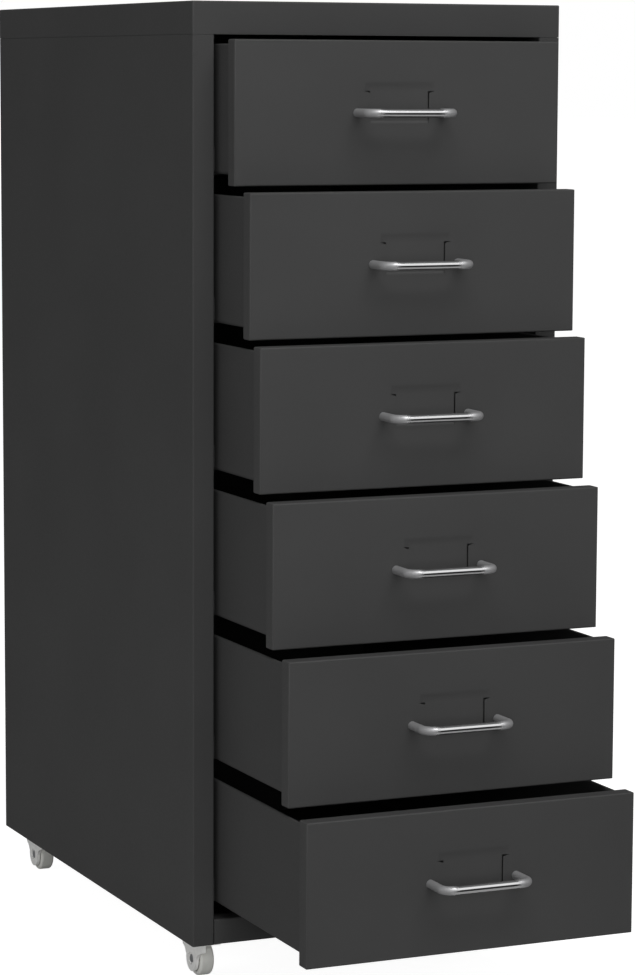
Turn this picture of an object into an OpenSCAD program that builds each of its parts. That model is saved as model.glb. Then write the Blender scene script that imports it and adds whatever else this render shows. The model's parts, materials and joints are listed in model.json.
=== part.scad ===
// Small steel cabinet of six drawers on four swivel casters.
// X runs across the front, Y from the front to the back, Z up. The floor is z = 0.
// Inside the modules y is measured from the posts' front faces; in_frame() centres the whole on Y.

/* [Case] */
// Width over the side panels
case_w = 280; // [220:1:420]
// Depth from the posts' front faces to the outer face of the back panel
case_d = 410; // [340:1:560]
// Height of the case without its casters
case_h = 655; // [560:1:900]
// Height that the casters hold the case off the floor
caster_h = 35; // [34:0.5:42]
// Thickness of the sheet steel
sheet = 0.8; // [0.6:0.1:1]
// Inside radius of the folds
fold_r = 0.4; // [0.3:0.1:1.5]
// Height of the rim of the top cap
cap_rim = 22.5; // [16:0.5:40]
// Open line between the cap's rim and the panels below it
seam_gap = 0.2; // [0.2:0.1:1]
// Width of the corner posts' faces
post_w = 16; // [12:0.5:24]
// Depth of the corner posts' returns
post_d = 14; // [10:0.5:24]
// Height of the rail below the lowest drawer
rail_h = 18; // [12:0.5:40]
// Depth of the lip on top of that rail
rail_lip = 14; // [6:0.5:20]
// Height of the bottom pan's upturned flanges
pan_flange = 12; // [6:0.5:20]
// Open line between the bottom pan and the posts
pan_gap = 0.1; // [0.1:0.1:0.5]

/* [Drawers] */
// How far each drawer stands open, from the top one down
drawer_open = [32, 59, 77, 99, 126, 156]; // [0:1:250]
// Open line above and below each drawer front
front_gap = 3.4; // [2:0.1:6]
// Open line between a drawer front and the post beside it
side_gap = 1.5; // [1:0.1:3]
// Depth of a drawer front
front_t = 11; // [8:0.5:20]
// Width of the flanges behind a drawer front's two ends
front_flange = 10; // [6:0.5:20]
// How far the box stands in from the end of its front
box_inset = 1.5; // [1:0.1:3]
// How far the box's rim lies below the top of its front
box_below_top = 3; // [2:0.5:12]
// How far the box's floor lies above the bottom of its front
box_above_bottom = 7.5; // [6:0.5:20]
// Gap between a closed box and the back panel
box_back_gap = 0.5; // [0.3:0.1:5]
// Length of a box that the case still holds when the drawer is fully out
box_held = 108.7; // [60:0.1:200]
// Inside radius of the folds along the box's floor
box_fold_r = 1.5; // [0.8:0.1:2.5]
// Inside radius of the hemmed rim
hem_r = 0.5; // [0.3:0.1:1]
// Height of the hemmed rim
hem_h = 6; // [4:0.5:12]

/* [Runners] */
// Width of the ledge that carries the box
ledge_w = 9; // [6:0.5:14]
// Clear height of the channel
channel_h = 20; // [14:0.5:30]
// Depth of the channel's upper lip, from the post
channel_lip = 2.2; // [1.6:0.1:2.4]
// Height of the ears on the box's rear wall
ear_h = 18.6; // [10:0.1:19]
// Gap below the ears
ear_gap = 0.6; // [0.3:0.1:1]
// How far an ear stands out of the box's side
ear_out = 1.6; // [1.2:0.1:1.8]
// How far a stop tab stands into the channel
stop_in = 1.6; // [1.2:0.1:1.8]
// Height of the stop tabs
stop_h = 10; // [6:0.5:14]

/* [Label pocket] */
// Width of the pocket's upper part, where a label's edge slides in
pocket_wing_w = 53.8; // [48:0.2:70]
// Width of the panel behind the label
pocket_w = 43.9; // [36:0.1:46]
// Distance from the top of the drawer front to the pocket
pocket_top = 27.3; // [16:0.1:30]
// Height of the whole pocket
pocket_h = 29.6; // [26:0.1:34]
// Height of the pocket's upper part
pocket_wing_h = 7.1; // [6:0.1:10]
// Depth to which the pocket is pressed in
pocket_depth = 1.2; // [1.1:0.1:2]
// Length of its sloping edges for each millimetre of depth
pocket_slope = 2.2; // [1:0.1:2.5]
// Width of the open slits beside the panel
slit_w = 0.4; // [0.3:0.1:2]

/* [Handles] */
// Thickness of the handle's bar
handle_d = 6; // [5.5:0.5:8]
// Distance between the middles of the handle's feet
handle_w = 64; // [60:1:96]
// Distance from the drawer front to the middle of the bar
handle_reach = 22.5; // [16:0.5:35]
// Radius of the bends, along the middle of the bar
handle_bend_r = 7; // [5:0.5:12]
// Thickness of the screws that hold it
handle_screw_d = 4; // [3:0.5:4]
// Length of the screws in the handle's feet
handle_screw_grip = 7; // [5:0.5:9]

/* [Casters] */
// Distance from a caster's pivot to the side of the case
caster_in_x = 26.5; // [24:0.5:50]
// Distance from a caster's pivot to the front or the back of the case
caster_in_y = 33; // [30:0.5:60]
// How far a wheel's axle trails behind the pivot
trail = 17; // [16:0.5:20]
// Wheel diameter
wheel_d = 25; // [22:0.5:26]
// Wheel width
wheel_w = 10.5; // [8:0.5:14]
// Thickness of the fork's arm, which holds the wheel from the outer side only
arm_t = 2.4; // [1.8:0.1:4]
// Gap between the wheel and the arm
wheel_side_gap = 0.45; // [0.3:0.05:1]
// Gap between the wheel's tread and the fork's bridge above it
wheel_round_gap = 1.8; // [1:0.1:2]
// Diameter of the caster's bearing disc and mounting plate
disc_d = 24; // [20:0.5:26]
// Axle diameter
axle_d = 3.5; // [3:0.1:4]
// Swivel pin diameter
pivot_d = 6; // [5:0.1:7]
// Diameter of the threaded stem
stem_d = 8; // [6:0.5:10]
// Width across the flats of its nut
nut_w = 13; // [12:0.5:16]
// Height of its nut
nut_h = 6.5; // [4:0.5:8]

/* [Screws] */
// Thickness of the case's screws
screw_d = 3; // [2.5:0.1:4]
// Diameter of their heads
screw_head_d = 6; // [5:0.1:8]
// Height of their heads
screw_head_h = 1.6; // [1:0.1:2.5]
// Length below their heads
screw_length = 6; // [4:0.5:10]

/* [Hidden] */
$fn = 48;
fold_steps = 5;
// Inside radius of the tightest folds, on the runners and where the panels step in
tight_r = 0.2;
// Radial room in a running fit, round a clamped screw and in a screwed hole
run_fit = 0.05;
screw_room = 0.2;
thread_room = 0.05;
// How far a tool reaches past the face that it cuts
past = 1;

half_sheet = sheet / 2;
outer_r = fold_r + sheet;
half_w = case_w / 2;
case_top = caster_h + case_h;
rim_bottom = case_top - cap_rim;
panel_top = rim_bottom - seam_gap;
// The side panels' depth: the back panel lies behind their rear flanges
side_d = case_d - sheet;
// Inner faces of the posts' returns
bay_half_w = half_w - post_w;

drawer_count = len(drawer_open);
front_w = 2 * (bay_half_w - side_gap);
front_h = (case_h - cap_rim - rail_h - (drawer_count + 1) * front_gap) / drawer_count;
front_pitch = front_h + front_gap;
box_half_w = front_w / 2 - box_inset;
box_h = front_h - box_below_top - box_above_bottom;
box_back = case_d - sheet - box_back_gap;
drawer_travel = box_back - box_held;
hem_w = 2 * (hem_r + sheet) + 0.2;

ledge_in = bay_half_w - ledge_w;
runner_front = front_t + 1;
runner_back = side_d - sheet - 0.4;
stop_back = box_back - sheet - drawer_travel - 0.2;

handle_end = handle_w / 2;
axle_z = wheel_d / 2;
arm_in = wheel_w / 2 + wheel_side_gap;
arm_out = arm_in + arm_t;
boss_r = 9.2;
hub_r = 4.3;
hub_depth = 1.2;
plate_t = 1.2;
fork_top = caster_h - plate_t - 0.3;
disc_t = 4;
bridge_bottom = axle_z + wheel_d / 2 + wheel_round_gap;
// Reach of the fork in front of its pivot and behind it, and how far its bridge lies below the bearing disc
fork_front = -5.5;
fork_back = trail + 16.5;
fork_shoulder = 3.5;
pin_bottom = bridge_bottom + 0.5;
stem_top = caster_h + sheet + nut_h + 2.7;

// Y of the middle of the whole, from the foremost handle to the rearmost screw or fork
whole_front = -max(drawer_open) - handle_reach - handle_d / 2;
whole_back = max(case_d + screw_head_h, case_d - caster_in_y + fork_back);
origin_y = (whole_front + whole_back) / 2;

// Each caster's name, its side and its end: -1 is left or front
CASTERS = [["fl", -1, -1], ["fr", 1, -1], ["bl", -1, 1], ["br", 1, 1]];
SIDES = [["left", -1], ["right", 1]];

paint = "#3f4042";
inner_paint = "#37383a";
chrome = "#d6d8da";
steel = "#a9abae";
fork_plastic = "#b8b8b6";
wheel_plastic = "#9c9c96";

// ---------- outlines ----------

function left_of(d) = [-d[1], d[0]];
function unit(v) = v / norm(v);
function turned(v, a) = [v[0] * cos(a) - v[1] * sin(a), v[0] * sin(a) + v[1] * cos(a)];
function backwards(v) = [for (i = [len(v) - 1:-1:0]) v[i]];
function flat(p) = [p[0], p[1]];
function heading(path, i) = unit(flat(path[i + 1]) - flat(path[i]));
function turn_angle(a, b) = atan2(a[0] * b[1] - a[1] * b[0], a * b);

// Points of an arc, from one angle to another
function arc(centre, r, from, to, steps = fold_steps) =
    [for (i = [0:steps]) centre + r * [cos(from + (to - from) * i / steps), sin(from + (to - from) * i / steps)]];

// Points round one bend of a sheet of thickness t, at the distance side * t / 2 to the left of its middle
function bend(path, i, t, side) =
    let (
        d = heading(path, i - 1),
        angle = turn_angle(d, heading(path, i)),
        way = sign(angle),
        r = path[i][2] + t / 2,
        centre = flat(path[i]) - d * r * tan(abs(angle) / 2) + left_of(d) * way * r
    )
    [for (j = [0:fold_steps]) centre - way * turned(left_of(d), angle * j / fold_steps) * (r - side * way * t / 2)];

// One face of a folded sheet: the path's points are [x, y, inside radius of the bend there]
function sheet_face(path, t, side) =
    let (last = len(path) - 1)
    concat(
        [flat(path[0]) + left_of(heading(path, 0)) * side * t / 2],
        [for (i = [1:1:last - 1]) each bend(path, i, t, side)],
        [flat(path[last]) + left_of(heading(path, last - 1)) * side * t / 2]
    );

module folded(path, t = sheet) {
    polygon(concat(sheet_face(path, t, 1), backwards(sheet_face(path, t, -1))));
}

// Corner of a rectangle: a point, or an arc where it is rounded
function corner(x, y, r, way_x, way_y, from) =
    r <= 0 ? [[x, y]] : arc([x + way_x * r, y + way_y * r], r, from, from + 90);

// A rectangle whose corners have the radii [low left, low right, high right, high left]
function round_rect(low, high, r) = concat(
    corner(low[0], low[1], r[0], 1, 1, 180),
    corner(high[0], low[1], r[1], -1, 1, 270),
    corner(high[0], high[1], r[2], -1, -1, 0),
    corner(low[0], high[1], r[3], 1, -1, 90)
);

// ---------- placing ----------

module in_frame() {
    translate([0, -origin_y, 0]) children();
}

// Extrudes an outline drawn in Y and Z along X
module along_x(from, to) {
    translate([from, 0, 0]) rotate([90, 0, 90]) linear_extrude(to - from) children();
}

// Extrudes an outline drawn in X and Z along Y
module along_y(from, to) {
    translate([0, to, 0]) rotate([90, 0, 0]) linear_extrude(to - from) children();
}

module along_z(from, to) {
    translate([0, 0, from]) linear_extrude(to - from) children();
}

module rod_x(from, to, y, z, d) {
    translate([from, y, z]) rotate([0, 90, 0]) cylinder(h = to - from, d = d);
}

module rod_y(from, to, x, z, d) {
    translate([x, to, z]) rotate([90, 0, 0]) cylinder(h = to - from, d = d);
}

module rod_z(from, to, x, y, d) {
    translate([x, y, from]) cylinder(h = to - from, d = d);
}

module mirrored(side) {
    if (side > 0) children();
    else mirror([1, 0, 0]) children();
}

module for_both_sides() {
    children();
    mirror([1, 0, 0]) children();
}

// ---------- case ----------

// Heights of the screws that hold the back panel to a rear post
panel_screws = 4;
panel_screw_end = 20;
function panel_screw_z(i) =
    caster_h + panel_screw_end + i * (panel_top - caster_h - 2 * panel_screw_end) / (panel_screws - 1);
post_screw_x = half_w - post_w / 2;
rim_screw_z = rim_bottom + cap_rim / 2;
pan_screw_x = bay_half_w / 2;
pan_screw_z = caster_h + pan_flange * 0.6;

// Puts a piece at each screw of the case's back, on the outer face of the back panel
module at_post_screws() {
    for_both_sides()
        for (i = [0:panel_screws - 1])
            translate([post_screw_x, case_d, panel_screw_z(i)]) children();
}

module at_rim_screws() {
    for_both_sides() translate([post_screw_x, case_d, rim_screw_z]) children();
}

module at_pan_screws() {
    for_both_sides() translate([pan_screw_x, case_d, pan_screw_z]) children();
}

module screw_hole() {
    rod_y(-screw_length - past, past, 0, 0, screw_d + screw_room);
}

// The cap's outer form, or its hollow where it is drawn in by one sheet
module cap_form(inset, bottom) {
    r = outer_r - inset;
    low_x = -half_w + inset;
    high_y = case_d - inset;
    high_z = case_top - inset;
    intersection() {
        along_z(bottom, high_z) polygon(round_rect([low_x, inset], [-low_x, high_y], [r, r, r, r]));
        along_x(low_x, -low_x) polygon(round_rect([inset, bottom], [high_y, high_z], [0, 0, r, r]));
        along_y(inset, high_y) polygon(round_rect([low_x, bottom], [-low_x, high_z], [0, 0, r, r]));
    }
}

module top_cap() {
    in_frame() color(paint) difference() {
        cap_form(0, rim_bottom);
        cap_form(sheet, rim_bottom - past);
        at_rim_screws() screw_hole();
    }
}

// Plan of the right side panel with its front and rear posts; step draws in its outer face and front
function side_path(step) = [
    [bay_half_w + half_sheet, post_d, 0],
    [bay_half_w + half_sheet, step + half_sheet, fold_r],
    [half_w - step - half_sheet, step + half_sheet, fold_r],
    [half_w - step - half_sheet, side_d - half_sheet, fold_r],
    [bay_half_w + half_sheet, side_d - half_sheet, fold_r],
    [bay_half_w + half_sheet, side_d - post_d, 0]
];

// The step where the panel goes in behind the cap's rim, two sheets thick
step_path = [
    [bay_half_w + outer_r, sheet, 0],
    [half_w - sheet, sheet, tight_r],
    [half_w - sheet, side_d - outer_r, 0]
];

module side_panel() {
    difference() {
        union() {
            along_z(caster_h, panel_top) folded(side_path(0));
            along_z(panel_top - sheet, panel_top) folded(step_path, 2 * sheet);
            along_z(panel_top - sheet, case_top - outer_r) folded(side_path(sheet));
        }
        at_post_screws() screw_hole();
        at_rim_screws() screw_hole();
    }
}

module side_left() {
    in_frame() color(paint) mirrored(-1) side_panel();
}

module side_right() {
    in_frame() color(paint) side_panel();
}

// Its upper edge steps in to a tongue behind the cap's rim, between the side panels' rear posts
module back_panel() {
    back_half_w = half_w - outer_r;
    tongue_half_w = bay_half_w - 0.3;
    in_frame() color(paint) difference() {
        union() {
            along_y(side_d, case_d)
                polygon(round_rect([-back_half_w, caster_h], [back_half_w, panel_top], [0, 0, 0, 0]));
            along_y(side_d - sheet, side_d)
                polygon(round_rect([-tongue_half_w, panel_top - sheet], [tongue_half_w, rim_screw_z], [0, 0, 0, 0]));
        }
        at_post_screws() screw_hole();
        at_pan_screws() screw_hole();
    }
}

// Bottom pan: the front rail, the floor and the rear flange in one sheet between the posts,
// and the floor's wider part between the side panels
module base_pan() {
    floor_z = caster_h + half_sheet;
    rail_top = caster_h + rail_h - half_sheet;
    wide_x = half_w - sheet - half_sheet;
    between_posts = bay_half_w - pan_gap;
    flange_top = caster_h + pan_flange;
    in_frame() color(paint) difference() {
        union() {
            along_x(-between_posts, between_posts) folded([
                [rail_lip, rail_top, 0],
                [half_sheet, rail_top, fold_r],
                [half_sheet, floor_z, fold_r],
                [side_d - half_sheet, floor_z, fold_r],
                [side_d - half_sheet, flange_top, 0]
            ]);
            along_y(post_d + pan_gap, side_d - post_d - pan_gap) folded([
                [-wide_x, flange_top, 0],
                [-wide_x, floor_z, fold_r],
                [wide_x, floor_z, fold_r],
                [wide_x, flange_top, 0]
            ]);
        }
        at_pan_screws() screw_hole();
        for (caster = CASTERS)
            at_pivot(caster) rod_z(caster_h - past, caster_h + sheet + past, 0, 0, stem_d + 2 * screw_room);
    }
}

// Low pan head with its shank, the head's underside at y = 0
module case_screw() {
    rotate([-90, 0, 0]) rotate_extrude() polygon([
        [0, -screw_length],
        [screw_d / 2, -screw_length],
        [screw_d / 2, 0],
        [screw_head_d / 2, 0],
        [screw_head_d / 2, screw_head_h * 0.5],
        [screw_head_d * 0.4, screw_head_h],
        [0, screw_head_h]
    ]);
}

module case_screws() {
    in_frame() color(steel) {
        at_post_screws() case_screw();
        at_rim_screws() case_screw();
        at_pan_screws() case_screw();
    }
}

// ---------- drawers ----------

function front_top(n) = rim_bottom - front_gap - (n - 1) * front_pitch;
function front_bottom(n) = front_top(n) - front_h;
function box_bottom(n) = front_bottom(n) + box_above_bottom;
function handle_z(n) = front_top(n) - front_h / 2;

// Moves a piece to where its drawer stands open
module at_drawer(n) {
    in_frame() translate([0, -drawer_open[n - 1], 0]) children();
}

// Runner of the right side: a channel whose lower leg carries the box. Only its web is left
// beside the drawer front, and it is welded to the returns of both posts.
module runner(n) {
    web_x = bay_half_w - half_sheet;
    ledge_z = box_bottom(n) - half_sheet;
    lip_z = box_bottom(n) + channel_h + half_sheet;
    tab_low = 2;
    stop_low = 5;
    union() {
        along_y(runner_front, runner_back) folded([
            [ledge_in, ledge_z, 0],
            [web_x, ledge_z, tight_r],
            [web_x, lip_z, tight_r],
            [bay_half_w - channel_lip, lip_z, 0]
        ]);
        along_y(tab_low, runner_front + past)
            polygon(round_rect(
                [bay_half_w - sheet, box_bottom(n) + tab_low],
                [bay_half_w, box_bottom(n) + channel_h - tab_low],
                [0, 0, 0, 0]
            ));
        along_y(stop_back - sheet, stop_back)
            polygon(round_rect(
                [bay_half_w - sheet - stop_in, box_bottom(n) + stop_low],
                [bay_half_w - half_sheet, box_bottom(n) + stop_low + stop_h],
                [0, 0, 0, 0]
            ));
    }
}

module runner_left(n) {
    in_frame() color(inner_paint) mirrored(-1) runner(n);
}

module runner_right(n) {
    in_frame() color(inner_paint) runner(n);
}

// Outline of the box's side walls and floor along the middle of the sheet, up to the height top
function trough(n, top) = [
    [-box_half_w + half_sheet, top, 0],
    [-box_half_w + half_sheet, box_bottom(n) + half_sheet, box_fold_r],
    [box_half_w - half_sheet, box_bottom(n) + half_sheet, box_fold_r],
    [box_half_w - half_sheet, top, 0]
];

// Cross section of the box: the trough with its two hemmed rims
function box_section(n) =
    let (
        rim = box_bottom(n) + box_h,
        wall_x = box_half_w - half_sheet,
        hem_x = wall_x - hem_w + sheet,
        low = trough(n, rim)
    )
    [
        [-hem_x, rim - hem_h, 0],
        [-hem_x, rim - half_sheet, hem_r],
        [-wall_x, rim - half_sheet, hem_r],
        low[1],
        low[2],
        [wall_x, rim - half_sheet, hem_r],
        [hem_x, rim - half_sheet, hem_r],
        [hem_x, rim - hem_h, 0]
    ];

// An end wall whose outer face lies at y, with its hem to the inside; way is 1 at the front, -1 at the rear
module box_end(n, y, way) {
    rim = box_bottom(n) + box_h;
    wall_y = y + way * half_sheet;
    hem_y = wall_y + way * (hem_w - sheet);
    hem_end = box_half_w - hem_w - 0.4;
    below_hems = rim - hem_h - sheet;
    along_y(wall_y - half_sheet, wall_y + half_sheet) polygon(sheet_face(trough(n, below_hems), sheet, 0));
    along_x(-hem_end, hem_end) folded([
        [wall_y, below_hems - past, 0],
        [wall_y, rim - half_sheet, hem_r],
        [hem_y, rim - half_sheet, hem_r],
        [hem_y, rim - hem_h, 0]
    ]);
}

module drawer_box(n) {
    at_drawer(n) color(inner_paint) difference() {
        union() {
            along_y(front_t, box_back) folded(box_section(n));
            box_end(n, front_t, 1);
            box_end(n, box_back, -1);
            // Ears that run in the channels and meet the stops
            for_both_sides()
                along_y(box_back - sheet, box_back)
                    polygon(round_rect(
                        [box_half_w - half_sheet, box_bottom(n) + ear_gap],
                        [box_half_w + ear_out, box_bottom(n) + ear_gap + ear_h],
                        [0, 0, 0, 0]
                    ));
        }
        handle_screw_holes(n);
    }
}

module handle_screw_holes(n) {
    for_both_sides()
        rod_y(-past, front_t + sheet + past, handle_end, handle_z(n), handle_screw_d + 2 * screw_room);
}

// The drawer front's outer form, or its hollow where it is drawn in by one sheet
module front_form(n, inset, back) {
    r = outer_r - inset;
    low = [-front_w / 2 + inset, front_bottom(n) + inset];
    high = [front_w / 2 - inset, front_top(n) - inset];
    intersection() {
        along_y(inset, back) polygon(round_rect(low, high, [r, r, r, r]));
        along_z(low[1], high[1]) polygon(round_rect([low[0], inset], [high[0], back], [r, r, 0, 0]));
        along_x(low[0], high[0]) polygon(round_rect([inset, low[1]], [back, high[1]], [r, 0, 0, r]));
    }
}

// Space pressed into the front for the pocket: wings above with sloping ends, and the panel below,
// whose sides are cut free. It starts at the depth face and is grown all round for the outside.
module pocket_form(n, face, grow) {
    top = front_top(n) - pocket_top;
    low = top - pocket_h;
    wing_low = top - pocket_wing_h;
    deep = pocket_depth + grow;
    // How far the sloping edges have run at the two depths, and how far growing moves them outwards
    run_face = pocket_slope * face;
    run_deep = pocket_slope * deep;
    slant = grow * sqrt(1 + pocket_slope * pocket_slope);
    wing_end = pocket_wing_w / 2 + slant;
    // The upper slope and the wings
    intersection() {
        along_x(-wing_end - past, wing_end + past) polygon([
            [face, wing_low],
            [deep, wing_low],
            [deep, top + slant - run_deep],
            [face, top + slant - run_face]
        ]);
        along_z(wing_low - past, top + slant + past) polygon([
            [run_face - wing_end, face],
            [wing_end - run_face, face],
            [wing_end - run_deep, deep],
            [run_deep - wing_end, deep]
        ]);
    }
    // The panel and the lower slope
    along_x(-pocket_w / 2, pocket_w / 2) polygon([
        [face, low - slant + run_face],
        [deep, low - slant + run_deep],
        [deep, wing_low + past],
        [face, wing_low + past]
    ]);
}

// Opening in the face beside the panel: the slits and the slanting reliefs above them
module pocket_opening(n) {
    wing_low = front_top(n) - pocket_top - pocket_wing_h;
    slit_low = front_top(n) - pocket_top - pocket_h + pocket_slope * pocket_depth + sheet;
    relief = 1.2;
    right = [
        [pocket_w / 2 + slit_w, slit_low],
        [pocket_w / 2 + slit_w, wing_low - relief],
        [pocket_wing_w / 2, wing_low]
    ];
    left = backwards([for (point = right) [-point[0], point[1]]]);
    along_y(-past, sheet + past) polygon(concat(right, left));
}

module drawer_front(n) {
    window_x = front_w / 2 - front_flange;
    at_drawer(n) color(paint) difference() {
        union() {
            difference() {
                front_form(n, 0, front_t);
                front_form(n, sheet, front_t - sheet);
                along_y(front_t - sheet - past, front_t + past)
                    polygon(round_rect(
                        [-window_x, front_bottom(n) + sheet],
                        [window_x, front_top(n) - sheet],
                        [0, 0, 0, 0]
                    ));
                pocket_opening(n);
            }
            pocket_form(n, half_sheet, sheet);
        }
        pocket_form(n, -past, 0);
        handle_screw_holes(n);
    }
}

// Bow handle: two feet, two bends and the bar between them
module handle(n) {
    bend_x = handle_end - handle_bend_r;
    bend_y = -handle_reach + handle_bend_r;
    at_drawer(n) color(chrome) translate([0, 0, handle_z(n)]) difference() {
        union() {
            rod_x(-bend_x, bend_x, -handle_reach, 0, handle_d);
            for_both_sides() {
                rod_y(bend_y, 0, handle_end, 0, handle_d);
                translate([bend_x, bend_y, 0])
                    rotate([0, 0, -90])
                        rotate_extrude(angle = 90) translate([handle_bend_r, 0]) circle(d = handle_d);
            }
        }
        for_both_sides()
            rod_y(-handle_screw_grip - past, past, handle_end, 0, handle_screw_d + 2 * thread_room);
    }
}

module handle_screws(n) {
    head_y = front_t + sheet;
    head_h = 2.5;
    head_r = handle_screw_d * 0.875;
    at_drawer(n) color(steel) for_both_sides() translate([handle_end, head_y, handle_z(n)])
        rotate([-90, 0, 0]) rotate_extrude() polygon([
            [0, -head_y - handle_screw_grip],
            [handle_screw_d / 2, -head_y - handle_screw_grip],
            [handle_screw_d / 2, 0],
            [head_r, 0],
            [head_r, head_h * 0.6],
            [head_r * 0.75, head_h],
            [0, head_h]
        ]);
}

// ---------- casters ----------

// Puts a piece at a caster's pivot
module at_pivot(caster) {
    y = caster[2] < 0 ? caster_in_y : case_d - caster_in_y;
    translate([caster[1] * (half_w - caster_in_x), y, 0]) children();
}

// The same, mirrored on the left, so that +X points out of the case
module at_caster(caster) {
    in_frame() at_pivot(caster) mirrored(caster[1]) children();
}

// Plate, swivel pin and threaded end
module caster_stem(caster) {
    at_caster(caster) color(steel) union() {
        rod_z(pin_bottom, caster_h - plate_t / 2, 0, 0, pivot_d);
        rod_z(caster_h - plate_t, caster_h, 0, 0, disc_d);
        rod_z(caster_h - plate_t / 2, stem_top, 0, 0, stem_d);
    }
}

// Side outline of the fork: a bridge over the wheel and an arm that narrows to a boss round the axle
function fork_outline() = concat(
    [[fork_front, fork_top - fork_shoulder], [fork_front, axle_z + 9.1]],
    arc([-20, -4.8] + [trail, axle_z], 12.3, 68, 28),
    arc([trail, axle_z], boss_r, 176, 372, 16),
    arc([16.6, 0.2] + [trail, axle_z], 6.9, 160, 101),
    [[fork_back, axle_z + 8.5]],
    arc([fork_back - 3, fork_top - fork_shoulder - 3], 3, 0, 90)
);

module caster_fork(caster) {
    at_caster(caster) color(fork_plastic) difference() {
        union() {
            along_x(arm_in, arm_out) polygon(fork_outline());
            intersection() {
                along_x(-arm_in, arm_out) polygon(fork_outline());
                along_z(bridge_bottom, fork_top)
                    polygon(round_rect([-arm_in, fork_front], [arm_out, fork_back], [0, 0, 0, 0]));
            }
            rod_z(fork_top - disc_t, fork_top, 0, 0, disc_d);
        }
        // Room for the swivel pin and the axle
        rod_z(bridge_bottom - past, fork_top + past, 0, 0, pivot_d + 2 * run_fit);
        rod_x(arm_in - past, arm_out + past, trail, axle_z, axle_d + 0.04);
        // Round recess over the axle's outer end
        rod_x(arm_out - hub_depth, arm_out + past, trail, axle_z, 2 * hub_r);
    }
}

// Wheel with rounded treads and a hollow in each face round the hub
module caster_wheel(caster) {
    r = wheel_d / 2;
    tread_r = 2;
    hollow = 1.4;
    rim_in = r - 3;
    hub_out = 4;
    half = wheel_w / 2;
    outline = concat(
        [[axle_d / 2 + run_fit, -half], [hub_out, -half], [hub_out + 0.5, hollow - half], [rim_in - 0.5, hollow - half],
            [rim_in, -half]],
        arc([r - tread_r, tread_r - half], tread_r, 270, 360),
        arc([r - tread_r, half - tread_r], tread_r, 0, 90),
        [[rim_in, half], [rim_in - 0.5, half - hollow], [hub_out + 0.5, half - hollow], [hub_out, half],
            [axle_d / 2 + run_fit, half]]
    );
    at_caster(caster) color(wheel_plastic)
        translate([0, trail, axle_z]) rotate([0, 90, 0]) rotate_extrude() polygon(outline);
}

// Axle with a flat head in the arm's recess and another behind the wheel
module caster_axle(caster) {
    head_t = 0.8;
    head_d = 2 * hub_r - 2.6;
    seat = arm_out - hub_depth;
    at_caster(caster) color(steel) union() {
        rod_x(-arm_in - head_t / 2, seat + head_t / 2, trail, axle_z, axle_d);
        rod_x(seat, seat + head_t, trail, axle_z, head_d);
        rod_x(-arm_in - head_t, -arm_in, trail, axle_z, head_d);
    }
}

module caster_nuts() {
    in_frame() color(steel) for (caster = CASTERS) at_pivot(caster) difference() {
        translate([0, 0, caster_h + sheet]) cylinder(h = nut_h, d = nut_w / cos(30), $fn = 6);
        rod_z(caster_h, stem_top + past, 0, 0, stem_d + 2 * thread_room);
    }
}

// ---------- the whole ----------

top_cap();
side_left();
side_right();
back_panel();
base_pan();
case_screws();
caster_nuts();
for (n = [1:drawer_count]) {
    runner_left(n);
    runner_right(n);
    drawer_box(n);
    drawer_front(n);
    handle(n);
    handle_screws(n);
}
for (caster = CASTERS) {
    caster_stem(caster);
    caster_fork(caster);
    caster_wheel(caster);
    caster_axle(caster);
}
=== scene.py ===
# Small steel cabinet of six drawers on four swivel casters: its finishes, its screws, and the studio round it.
import json
import math

import bmesh
import bpy
from mathutils import Matrix, Vector


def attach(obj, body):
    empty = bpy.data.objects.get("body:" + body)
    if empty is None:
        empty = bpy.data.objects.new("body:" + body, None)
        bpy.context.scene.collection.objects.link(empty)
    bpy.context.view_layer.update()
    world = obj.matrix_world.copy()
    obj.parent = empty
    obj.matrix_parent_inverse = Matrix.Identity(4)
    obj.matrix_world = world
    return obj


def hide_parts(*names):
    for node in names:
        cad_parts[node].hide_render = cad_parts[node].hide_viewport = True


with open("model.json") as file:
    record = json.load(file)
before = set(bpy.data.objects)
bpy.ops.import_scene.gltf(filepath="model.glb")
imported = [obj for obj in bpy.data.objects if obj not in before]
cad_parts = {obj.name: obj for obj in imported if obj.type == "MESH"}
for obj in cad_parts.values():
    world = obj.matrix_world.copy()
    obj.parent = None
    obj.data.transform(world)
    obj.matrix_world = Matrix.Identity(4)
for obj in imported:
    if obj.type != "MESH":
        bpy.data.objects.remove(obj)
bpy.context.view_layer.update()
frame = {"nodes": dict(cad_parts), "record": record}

MM = 0.001
DRAWERS = range(1, 7)
# Corners of triangles that lie nearer together than this, in metres, are one corner
WELD = 1e-6
# Edges that turn by less than this are folds and rounds, and sharper ones are real corners
SHARPEST_FOLD = math.radians(31)


# ---------- small helpers ----------

def linear(code):
    """An sRGB hex colour such as "3a3b3d" as the linear colour that a shader takes."""
    def channel(c):
        c /= 255
        return c / 12.92 if c <= 0.04045 else ((c + 0.055) / 1.055) ** 2.4
    return tuple(channel(int(code[i:i + 2], 16)) for i in (0, 2, 4)) + (1.0,)


def add(tree, kind, inputs=None, stops=(), **settings):
    """Adds a node with its settings. An input is a value, or the output socket that feeds it, and stops are the
    places and colours on a colour ramp."""
    node = tree.nodes.new(kind)
    for name, value in settings.items():
        setattr(node, name, value)
    # A new colour ramp has two stops
    for _ in stops[2:]:
        node.color_ramp.elements.new(0.5)
    for element, (position, colour) in zip(node.color_ramp.elements if stops else (), stops):
        element.position, element.color = position, colour
    for name, value in (inputs or {}).items():
        if isinstance(value, bpy.types.NodeSocket):
            tree.links.new(value, node.inputs[name])
        else:
            node.inputs[name].default_value = value
    return node


def new_material(name):
    """An empty material, and its node tree."""
    material = bpy.data.materials.new(name)
    material.use_nodes = True
    material.node_tree.nodes.clear()
    return material, material.node_tree


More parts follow.
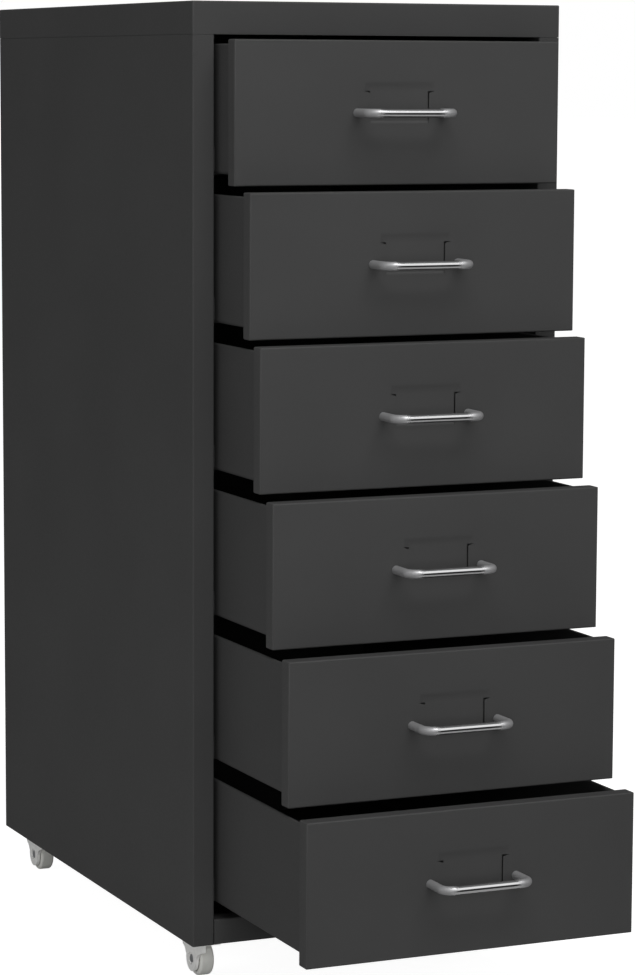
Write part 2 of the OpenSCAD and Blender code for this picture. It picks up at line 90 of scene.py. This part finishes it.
def per_metre(size_mm):
    """Scale of a noise texture whose cells are this many millimetres across."""
    return 1 / (size_mm * MM)


def grey(value):
    """A neutral linear colour."""
    return (value, value, value, 1.0)


# ---------- finishes ----------

def powder_coat(name, dark, light):
    """Matt powder coat on sheet steel: baked from dry powder, it flows out with a faint orange peel about
    1.5 mm across, with a fine grain on top, so its gloss is broad and a little uneven."""
    material, tree = new_material(name)
    place = add(tree, "ShaderNodeTexCoord").outputs["Object"]
    # Slow drift of the film's thickness over a panel, about 90 mm across
    drift = add(tree, "ShaderNodeTexNoise", {"Vector": place, "Scale": per_metre(90), "Detail": 3.0, "Roughness": 0.5})
    colour = add(tree, "ShaderNodeValToRGB", {"Fac": drift.outputs["Fac"]}, [(0.3, linear(dark)), (0.7, linear(light))])
    peel = add(tree, "ShaderNodeTexNoise", {"Vector": place, "Scale": per_metre(1.5), "Detail": 1.0, "Roughness": 0.4})
    grain = add(tree, "ShaderNodeTexNoise", {"Vector": place, "Scale": per_metre(0.35), "Detail": 1.0})
    relief = add(tree, "ShaderNodeMath", {0: grain.outputs["Fac"], 1: 0.35, 2: peel.outputs["Fac"]},
                 operation="MULTIPLY_ADD")
    bump = add(tree, "ShaderNodeBump", {"Height": relief.outputs[0], "Strength": 0.25, "Distance": 0.04 * MM})
    rough = add(tree, "ShaderNodeMapRange", {"Value": peel.outputs["Fac"], "To Min": 0.56, "To Max": 0.66})
    shader = add(tree, "ShaderNodeBsdfPrincipled", {
        "Base Color": colour.outputs["Color"], "Roughness": rough.outputs["Result"], "Normal": bump.outputs["Normal"],
        "IOR": 1.5, "Specular IOR Level": 0.3})
    add(tree, "ShaderNodeOutputMaterial", {"Surface": shader.outputs["BSDF"]})
    return material


def chrome_plate(name):
    """Drawn rod with nickel-chrome plate. Most of the straight bar is polished bright along its drawing lines; the
    bent ends, which no wheel reaches, stay satin."""
    material, tree = new_material(name)
    place = add(tree, "ShaderNodeTexCoord").outputs["Object"]
    # Drawing lines run along the bar, 0.4 mm apart and many millimetres long
    along = add(tree, "ShaderNodeMapping", {"Vector": place, "Scale": (per_metre(40), per_metre(0.4), per_metre(0.4))})
    lines = add(tree, "ShaderNodeTexNoise", {"Vector": along.outputs["Vector"], "Scale": 1.0, "Detail": 2.0})
    bump = add(tree, "ShaderNodeBump", {"Height": lines.outputs["Fac"], "Strength": 0.05, "Distance": 0.01 * MM})
    # The middle of the polish lies 1.5 mm to the left of the handle's, and from 20 to 29 mm on either side of it
    # the polish fades out
    sideways = add(tree, "ShaderNodeSeparateXYZ", {0: place}).outputs["X"]
    from_middle = add(tree, "ShaderNodeMath", {0: sideways, 1: 1.5 * MM}, operation="ADD")
    distance = add(tree, "ShaderNodeMath", {0: from_middle.outputs[0]}, operation="ABSOLUTE")
    satin = add(tree, "ShaderNodeMapRange", {"Value": distance.outputs[0], "From Min": 20 * MM, "From Max": 29 * MM},
                interpolation_type="SMOOTHSTEP")
    # The wheel's marks and the satin are a little uneven, in clouds 4 mm across
    cloud = add(tree, "ShaderNodeTexNoise", {"Vector": place, "Scale": per_metre(4), "Detail": 3.0})
    bright_rough = add(tree, "ShaderNodeMapRange", {"Value": cloud.outputs["Fac"], "To Min": 0.06, "To Max": 0.1})
    satin_rough = add(tree, "ShaderNodeMapRange", {"Value": cloud.outputs["Fac"], "To Min": 0.45, "To Max": 0.6})
    rough = add(tree, "ShaderNodeMix", {
        0: satin.outputs["Result"], 2: bright_rough.outputs["Result"], 3: satin_rough.outputs["Result"]})
    plated = add(tree, "ShaderNodeMapRange", {"Value": satin.outputs["Result"], "To Min": 1.0, "To Max": 0.4})
    tone = add(tree, "ShaderNodeMix", {0: satin.outputs["Result"], 6: linear("dededf"), 7: linear("949495")},
               data_type="RGBA")
    shader = add(tree, "ShaderNodeBsdfPrincipled", {
        "Base Color": tone.outputs[2], "Metallic": plated.outputs["Result"], "Roughness": rough.outputs[0],
        "Normal": bump.outputs["Normal"]})
    add(tree, "ShaderNodeOutputMaterial", {"Surface": shader.outputs["BSDF"]})
    return material


def zinc_plate(name):
    """Zinc-plated steel: a pale bluish metal, half matt, with cloudy patches a few millimetres across."""
    material, tree = new_material(name)
    place = add(tree, "ShaderNodeTexCoord").outputs["Object"]
    cloud = add(tree, "ShaderNodeTexNoise", {"Vector": place, "Scale": per_metre(3), "Detail": 4.0, "Roughness": 0.6})
    colour = add(tree, "ShaderNodeValToRGB", {"Fac": cloud.outputs["Fac"]},
                 [(0.3, linear("9fa2a6")), (0.7, linear("b9bbbe"))])
    rough = add(tree, "ShaderNodeMapRange", {"Value": cloud.outputs["Fac"], "To Min": 0.28, "To Max": 0.45})
    # Turning marks, 0.2 mm apart
    marks = add(tree, "ShaderNodeTexNoise", {"Vector": place, "Scale": per_metre(0.2), "Detail": 1.0})
    bump = add(tree, "ShaderNodeBump", {"Height": marks.outputs["Fac"], "Strength": 0.15, "Distance": 0.02 * MM})
    shader = add(tree, "ShaderNodeBsdfPrincipled", {
        "Base Color": colour.outputs["Color"], "Metallic": 1.0, "Roughness": rough.outputs["Result"],
        "Normal": bump.outputs["Normal"]})
    add(tree, "ShaderNodeOutputMaterial", {"Surface": shader.outputs["BSDF"]})
    return material


def moulded_plastic(name, dark, light, roughness, spark_mm):
    """Moulded plastic: the mould's spark-eroded skin makes it matt, and the melt leaves faint flow clouds, about
    7 mm across."""
    material, tree = new_material(name)
    place = add(tree, "ShaderNodeTexCoord").outputs["Object"]
    flow = add(tree, "ShaderNodeTexNoise", {"Vector": place, "Scale": per_metre(7), "Detail": 3.0, "Distortion": 0.6})
    colour = add(tree, "ShaderNodeValToRGB", {"Fac": flow.outputs["Fac"]}, [(0.3, linear(dark)), (0.7, linear(light))])
    skin = add(tree, "ShaderNodeTexNoise", {"Vector": place, "Scale": per_metre(spark_mm), "Detail": 1.0})
    bump = add(tree, "ShaderNodeBump", {"Height": skin.outputs["Fac"], "Strength": 0.3, "Distance": 0.03 * MM})
    rough = add(tree, "ShaderNodeMapRange", {
        "Value": skin.outputs["Fac"], "To Min": roughness - 0.05, "To Max": roughness + 0.05})
    shader = add(tree, "ShaderNodeBsdfPrincipled", {
        "Base Color": colour.outputs["Color"], "Roughness": rough.outputs["Result"], "Normal": bump.outputs["Normal"],
        "IOR": 1.49, "Specular IOR Level": 0.4})
    add(tree, "ShaderNodeOutputMaterial", {"Surface": shader.outputs["BSDF"]})
    return material


finishes = {
    "case_paint": powder_coat("powder_coat_on_case", "363636", "393939"),
    "front_paint": powder_coat("powder_coat_on_fronts", "383838", "3b3b3b"),
    "inner_paint": powder_coat("powder_coat_on_drawer_boxes", "343434", "373737"),
    "chrome_bar": chrome_plate("chrome_plated_rod"),
    "zinc": zinc_plate("zinc_plated_steel"),
    "fork_plastic": moulded_plastic("moulded_nylon_fork", "e8e8e6", "f0f0ee", roughness=0.5, spark_mm=0.5),
    "wheel_plastic": moulded_plastic("moulded_wheel_tread", "d2d2cd", "dcdcd7", roughness=0.6, spark_mm=0.6),
}
slot_of = {part["node"]: part["material_slot"] for part in frame["record"]["subparts"]}


# ---------- sheet metal and moulded pieces from the CAD ----------

def soft_folds_tree():
    """Joins the loose triangles and shades the folds and rounds smoothly, but keeps real corners sharp."""
    tree = bpy.data.node_groups.new("Soft folds", "GeometryNodeTree")
    tree.interface.new_socket("Geometry", in_out="INPUT", socket_type="NodeSocketGeometry")
    tree.interface.new_socket("Sharpest fold", in_out="INPUT", socket_type="NodeSocketFloat")
    tree.interface.new_socket("Geometry", in_out="OUTPUT", socket_type="NodeSocketGeometry")
    given = add(tree, "NodeGroupInput")
    joined = add(tree, "GeometryNodeMergeByDistance", {"Geometry": given.outputs["Geometry"], "Distance": WELD})
    # The normals that came with the triangles would hide the new shading
    plain = add(tree, "GeometryNodeRemoveAttribute", {"Geometry": joined.outputs["Geometry"], "Name": "custom_normal"})
    angle = add(tree, "GeometryNodeInputMeshEdgeAngle")
    is_fold = add(tree, "FunctionNodeCompare", {0: angle.outputs["Unsigned Angle"], 1: given.outputs["Sharpest fold"]},
                  operation="LESS_THAN")
    faces = add(tree, "GeometryNodeSetShadeSmooth", {"Geometry": plain.outputs["Geometry"], "Shade Smooth": True},
                domain="FACE")
    edges = add(tree, "GeometryNodeSetShadeSmooth", {
        "Geometry": faces.outputs["Geometry"], "Shade Smooth": is_fold.outputs["Result"]}, domain="EDGE")
    add(tree, "NodeGroupOutput", {"Geometry": edges.outputs["Geometry"]})
    return tree


def socket_id(tree, name):
    """Identifier of a tree's input by its name."""
    return next(s.identifier for s in tree.interface.items_tree if s.name == name and s.in_out == "INPUT")


soft_folds = soft_folds_tree()
for name, node in frame["nodes"].items():
    node.material_slots[0].material = finishes[slot_of[name]]
    folds = node.modifiers.new("Soft folds", "NODES")
    folds.node_group = soft_folds
    folds[socket_id(soft_folds, "Sharpest fold")] = SHARPEST_FOLD
    normals = node.modifiers.new("Even faces", "WEIGHTED_NORMAL")
    normals.keep_sharp = True


# ---------- screws ----------

def pan_head_tree():
    """A pan head screw with a cross recess on each given point, with its head along the point's way out."""
    tree = bpy.data.node_groups.new("Pan head screws", "GeometryNodeTree")
    tree.interface.new_socket("Geometry", in_out="INPUT", socket_type="NodeSocketGeometry")
    for size in ("Head diameter", "Head height", "Shank diameter", "Shank length"):
        tree.interface.new_socket(size, in_out="INPUT", socket_type="NodeSocketFloat")
    tree.interface.new_socket("Finish", in_out="INPUT", socket_type="NodeSocketMaterial")
    tree.interface.new_socket("Geometry", in_out="OUTPUT", socket_type="NodeSocketGeometry")
    given = add(tree, "NodeGroupInput").outputs

    # The head is first made one across and one high, so these are shares of its width and of its height
    dome_radius, dome_height = 0.62, 1.7
    recess_reach, recess_width, recess_depth = 0.56, 0.15, 0.6
    # Share of the shank's length that goes into the head
    overlap = 0.03
    head_sides, head_rings, shank_sides = 40, 24, 24

    # A round blank, domed by a ball
    ball = add(tree, "GeometryNodeMeshUVSphere", {
        "Segments": head_sides, "Rings": head_rings, "Radius": dome_radius})
    dome = add(tree, "GeometryNodeTransform", {"Geometry": ball.outputs["Mesh"], "Scale": (1.0, 1.0, dome_height)})
    blank = add(tree, "GeometryNodeMeshCylinder", {"Vertices": head_sides, "Radius": 0.5, "Depth": 1.0})
    seated_blank = add(tree, "GeometryNodeTransform", {
        "Geometry": blank.outputs["Mesh"], "Translation": (0.0, 0.0, 0.5)})
    round_head = add(tree, "GeometryNodeMeshBoolean", operation="INTERSECT", solver="EXACT")
    for shape in (seated_blank, dome):
        tree.links.new(shape.outputs["Geometry"], round_head.inputs["Mesh 2"])
    # The driver's two crossed blades, with their middle at the top of the head
    head = add(tree, "GeometryNodeMeshBoolean", {"Mesh 1": round_head.outputs["Mesh"]}, operation="DIFFERENCE",
               solver="EXACT")
    for wide, deep in ((recess_reach, recess_width), (recess_width, recess_reach)):
        blade = add(tree, "GeometryNodeMeshCube", {"Size": (wide, deep, 2 * recess_depth)})
        seated_blade = add(tree, "GeometryNodeTransform", {
            "Geometry": blade.outputs["Mesh"], "Translation": (0.0, 0.0, 1.0)})
        tree.links.new(seated_blade.outputs["Geometry"], head.inputs["Mesh 2"])
    # The shank is one across and one long below the head
    bar = add(tree, "GeometryNodeMeshCylinder", {"Vertices": shank_sides, "Radius": 0.5, "Depth": 1 + overlap})
    shank = add(tree, "GeometryNodeTransform", {
        "Geometry": bar.outputs["Mesh"], "Translation": (0.0, 0.0, (overlap - 1) / 2)})
    screw = add(tree, "GeometryNodeMeshBoolean", operation="UNION", solver="EXACT")
    for shape, across, along in ((head.outputs["Mesh"], "Head diameter", "Head height"),
                                 (shank.outputs["Geometry"], "Shank diameter", "Shank length")):
        size = add(tree, "ShaderNodeCombineXYZ", {"X": given[across], "Y": given[across], "Z": given[along]})
        sized = add(tree, "GeometryNodeTransform", {"Geometry": shape, "Scale": size.outputs[0]})
        tree.links.new(sized.outputs["Geometry"], screw.inputs["Mesh 2"])
    # Each screw stops at its own angle
    spin = add(tree, "FunctionNodeRandomValue", {"Max": (0.0, 0.0, math.tau), "Seed": 7}, data_type="FLOAT_VECTOR")
    way_out = add(tree, "GeometryNodeInputNamedAttribute", {"Name": "Way out"}, data_type="FLOAT_VECTOR")
    facing = add(tree, "FunctionNodeAlignRotationToVector", {"Vector": way_out.outputs["Attribute"]}, axis="Z")
    turned = add(tree, "FunctionNodeRotateRotation", {
        "Rotation": facing.outputs[0], "Rotate By": spin.outputs["Value"]}, rotation_space="LOCAL")
    placed = add(tree, "GeometryNodeInstanceOnPoints", {
        "Points": given["Geometry"], "Instance": screw.outputs["Mesh"], "Rotation": turned.outputs[0]})
    real = add(tree, "GeometryNodeRealizeInstances", {"Geometry": placed.outputs["Instances"]})
    finished = add(tree, "GeometryNodeSetMaterial", {"Geometry": real.outputs[0], "Material": given["Finish"]})
    add(tree, "NodeGroupOutput", {"Geometry": finished.outputs[0]})
    return tree


def solids_of(node):
    """Lowest and highest corner of each separate solid of a CAD node."""
    mesh = bmesh.new()
    mesh.from_mesh(frame["nodes"][node].data)
    bmesh.ops.remove_doubles(mesh, verts=mesh.verts, dist=WELD)
    left, found = set(mesh.verts), []
    while left:
        group, edge = [], [left.pop()]
        while edge:
            vert = edge.pop()
            group.append(vert.co.copy())
            for link in vert.link_edges:
                other = link.other_vert(vert)
                if other in left:
                    left.remove(other)
                    edge.append(other)
        low = Vector([min(p[i] for p in group) for i in range(3)])
        high = Vector([max(p[i] for p in group) for i in range(3)])
        found.append((low, high))
    mesh.free()
    return sorted(found, key=lambda pair: tuple(pair[0]))


def grown_by_tree(tree, seats, inputs, name):
    """Runs a tree on seats, each a point and the way out of the surface, and gives back a plain mesh object."""
    mesh = bpy.data.meshes.new(name)
    mesh.from_pydata([point for point, _ in seats], [], [])
    way_out = mesh.attributes.new("Way out", "FLOAT_VECTOR", "POINT")
    for item, (_, way) in zip(way_out.data, seats):
        item.vector = way
    seat_object = bpy.data.objects.new(name, mesh)
    bpy.context.scene.collection.objects.link(seat_object)
    modifier = seat_object.modifiers.new("Grow", "NODES")
    modifier.node_group = tree
    for label, value in inputs.items():
        modifier[socket_id(tree, label)] = value
    shape = bpy.data.meshes.new_from_object(seat_object.evaluated_get(bpy.context.evaluated_depsgraph_get()))
    bpy.data.objects.remove(seat_object)
    piece = bpy.data.objects.new(name, shape)
    bpy.context.scene.collection.objects.link(piece)
    return piece


pan_head = pan_head_tree()


def shade_rounds(piece):
    """Shades a piece smoothly, apart from its real corners."""
    for face in piece.data.polygons:
        face.use_smooth = True
    piece.data.set_sharp_from_angle(angle=SHARPEST_FOLD)


def screws(node, body, head_diameter, head_height, shank_diameter):
    """Cross-recessed screws in the places of a node's plain ones, which all have their heads to the back. The sizes
    are in millimetres."""
    seats = []
    for low, high in solids_of(node):
        centre = (low + high) / 2
        centre.y = high.y - head_height * MM
        seats.append((centre, Vector((0, 1, 0))))
    # A node's screws are all alike, so the last one gives the length of them all
    shank = (high.y - low.y) - head_height * MM
    piece = grown_by_tree(pan_head, seats, {
        "Head diameter": head_diameter * MM, "Head height": head_height * MM, "Shank diameter": shank_diameter * MM,
        "Shank length": shank, "Finish": finishes["zinc"]}, node + "_crossed")
    shade_rounds(piece)
    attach(piece, body)
    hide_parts(node)


screws("case_screws", "root", head_diameter=6.0, head_height=1.6, shank_diameter=3.0)
for n in DRAWERS:
    screws(f"handle_screws_{n}", f"drawer_{n}", head_diameter=7.0, head_height=2.5, shank_diameter=4.0)


# ---------- studio ----------

def studio_floor():
    """A pale matt floor. It is lifted to white for the camera, and keeps the soft shadow under the casters."""
    # Half of its side, in metres
    half = 40.0
    mesh = bpy.data.meshes.new("studio_floor")
    mesh.from_pydata([(-half, -half, 0), (half, -half, 0), (half, half, 0), (-half, half, 0)], [], [(0, 1, 2, 3)])
    floor = bpy.data.objects.new("studio_floor", mesh)
    bpy.context.scene.collection.objects.link(floor)
    material, tree = new_material("matt_paper_floor")
    light_path = add(tree, "ShaderNodeLightPath").outputs
    # In front of the cabinet, polished metal mirrors the unlit end of the studio: the paper that it sees more than
    # 40 degrees below the horizon is as it is, and at less than 30 degrees it is dark
    glancing = add(tree, "ShaderNodeLayerWeight", {"Blend": 0.5}).outputs["Facing"]
    dim = add(tree, "ShaderNodeMapRange", {"Value": glancing, "From Min": 0.36, "From Max": 0.5})
    place = add(tree, "ShaderNodeTexCoord").outputs["Object"]
    # "In front" starts at the lowest handle, 0.3 m from the middle, and is full 0.12 m further
    way_back = add(tree, "ShaderNodeSeparateXYZ", {0: place}).outputs["Y"]
    ahead = add(tree, "ShaderNodeMapRange", {
        "Value": way_back, "From Min": -0.3, "From Max": -0.42, "To Max": light_path["Is Glossy Ray"]})
    unlit = add(tree, "ShaderNodeMath", {0: dim.outputs["Result"], 1: ahead.outputs["Result"]}, operation="MULTIPLY")
    tone = add(tree, "ShaderNodeMix", {0: unlit.outputs[0], 6: grey(0.48), 7: grey(0.03)}, data_type="RGBA")
    matt = add(tree, "ShaderNodeBsdfDiffuse", {"Color": tone.outputs[2]})
    seen = add(tree, "ShaderNodeMath", {0: light_path["Is Camera Ray"], 1: light_path["Is Transmission Ray"]},
               operation="MAXIMUM")
    # With 0.94 of its own glow the lit paper is white to the camera, and only its shadows show
    lift = add(tree, "ShaderNodeMath", {0: seen.outputs[0], 1: 0.94}, operation="MULTIPLY")
    glow = add(tree, "ShaderNodeEmission", {"Color": grey(1.0), "Strength": lift.outputs[0]})
    both = add(tree, "ShaderNodeAddShader", {0: matt.outputs[0], 1: glow.outputs[0]})
    add(tree, "ShaderNodeOutputMaterial", {"Surface": both.outputs[0]})
    mesh.materials.append(material)


def studio_world():
    """Even soft light all round. What is seen directly is white. Polished metal shows a white tent in front, grey
    overhead, behind and at the sides, and the unlit end of the studio as a dark band between the floor and the
    tent."""
    world = bpy.data.worlds.new("studio")
    world.use_nodes = True
    tree = world.node_tree
    tree.nodes.clear()
    way = add(tree, "ShaderNodeSeparateXYZ", {0: add(tree, "ShaderNodeTexCoord").outputs["Generated"]})
    forward = add(tree, "ShaderNodeMath", {0: way.outputs["Y"], 1: -1.0}, operation="MULTIPLY")
    climb = add(tree, "ShaderNodeMath", {0: way.outputs["Z"], 1: forward.outputs[0]}, operation="ARCTAN2")
    share = add(tree, "ShaderNodeMath", {0: climb.outputs[0], 1: math.pi}, operation="DIVIDE")
    # The angle goes up from the horizon in front, through 90 degrees overhead, to the horizon behind
    degrees = [(0, 0.03), (8, 0.03), (12, 1.0), (60, 1.0), (68, 0.16), (180, 0.16)]
    tent = add(tree, "ShaderNodeValToRGB", {"Fac": share.outputs[0]},
               [(angle / 180, grey(value)) for angle, value in degrees])
    sideways = add(tree, "ShaderNodeMath", {0: way.outputs["X"]}, operation="ABSOLUTE")
    side = add(tree, "ShaderNodeMapRange", {"Value": sideways.outputs[0], "From Min": 0.6, "From Max": 0.85})
    mirrored = add(tree, "ShaderNodeMix", {
        0: side.outputs["Result"], 6: tent.outputs["Color"], 7: grey(0.2)}, data_type="RGBA")
    light_path = add(tree, "ShaderNodeLightPath").outputs
    seen = add(tree, "ShaderNodeMath", {0: light_path["Is Camera Ray"], 1: light_path["Is Transmission Ray"]},
               operation="MAXIMUM")
    gloss = add(tree, "ShaderNodeMix", {0: light_path["Is Glossy Ray"], 6: grey(0.2), 7: mirrored.outputs[2]},
                data_type="RGBA")
    colour = add(tree, "ShaderNodeMix", {0: seen.outputs[0], 6: gloss.outputs[2], 7: grey(1.0)}, data_type="RGBA")
    background = add(tree, "ShaderNodeBackground", {"Color": colour.outputs[2], "Strength": 1.0})
    add(tree, "ShaderNodeOutputWorld", {"Surface": background.outputs[0]})
    bpy.context.scene.world = world


def soft_box(name, place, aim, width, height, watts, mirrored=True):
    """A rectangular lamp at a place, turned to what it aims at, in metres. Polished metal shows it if mirrored."""
    lamp = bpy.data.lights.new(name, "AREA")
    lamp.shape = "RECTANGLE"
    lamp.size, lamp.size_y, lamp.energy = width, height, watts
    box = bpy.data.objects.new(name, lamp)
    box.location = place
    box.rotation_euler = (Vector(aim) - Vector(place)).to_track_quat("-Z", "Y").to_euler()
    box.visible_camera = False
    box.visible_glossy = mirrored
    bpy.context.scene.collection.objects.link(box)


def camera():
    """Eye level a little below the top of the cabinet, off its left front corner, with a long lens."""
    place_mm = Vector((-972.8, -2198.8, 641.7))
    yaw, pitch_down, roll = -23.982, 7.178, 0.247
    lens = bpy.data.cameras.new("camera")
    lens.lens, lens.sensor_width, lens.sensor_fit = 121.52, 36.0, "AUTO"
    lens.clip_start, lens.clip_end = 0.1, 200.0
    eye = bpy.data.objects.new("camera", lens)
    turn = (Matrix.Rotation(math.radians(yaw), 4, "Z") @ Matrix.Rotation(math.radians(90 - pitch_down), 4, "X")
            @ Matrix.Rotation(math.radians(roll), 4, "Z"))
    eye.matrix_world = Matrix.Translation(place_mm * MM) @ turn
    bpy.context.scene.collection.objects.link(eye)
    bpy.context.scene.camera = eye


camera()
studio_floor()
studio_world()
soft_box("key", (-0.15, -1.5, 2.5), (0.0, -0.05, 0.35), width=2.4, height=1.3, watts=42)
soft_box("front", (-0.9, -3.1, 0.55), (0.0, 0.0, 0.4), width=1.8, height=1.5, watts=47, mirrored=False)
soft_box("left", (-3.0, 0.0, 0.9), (0.0, 0.05, 0.35), width=1.8, height=1.8, watts=20, mirrored=False)
bpy.context.scene.view_settings.view_transform = "Standard"
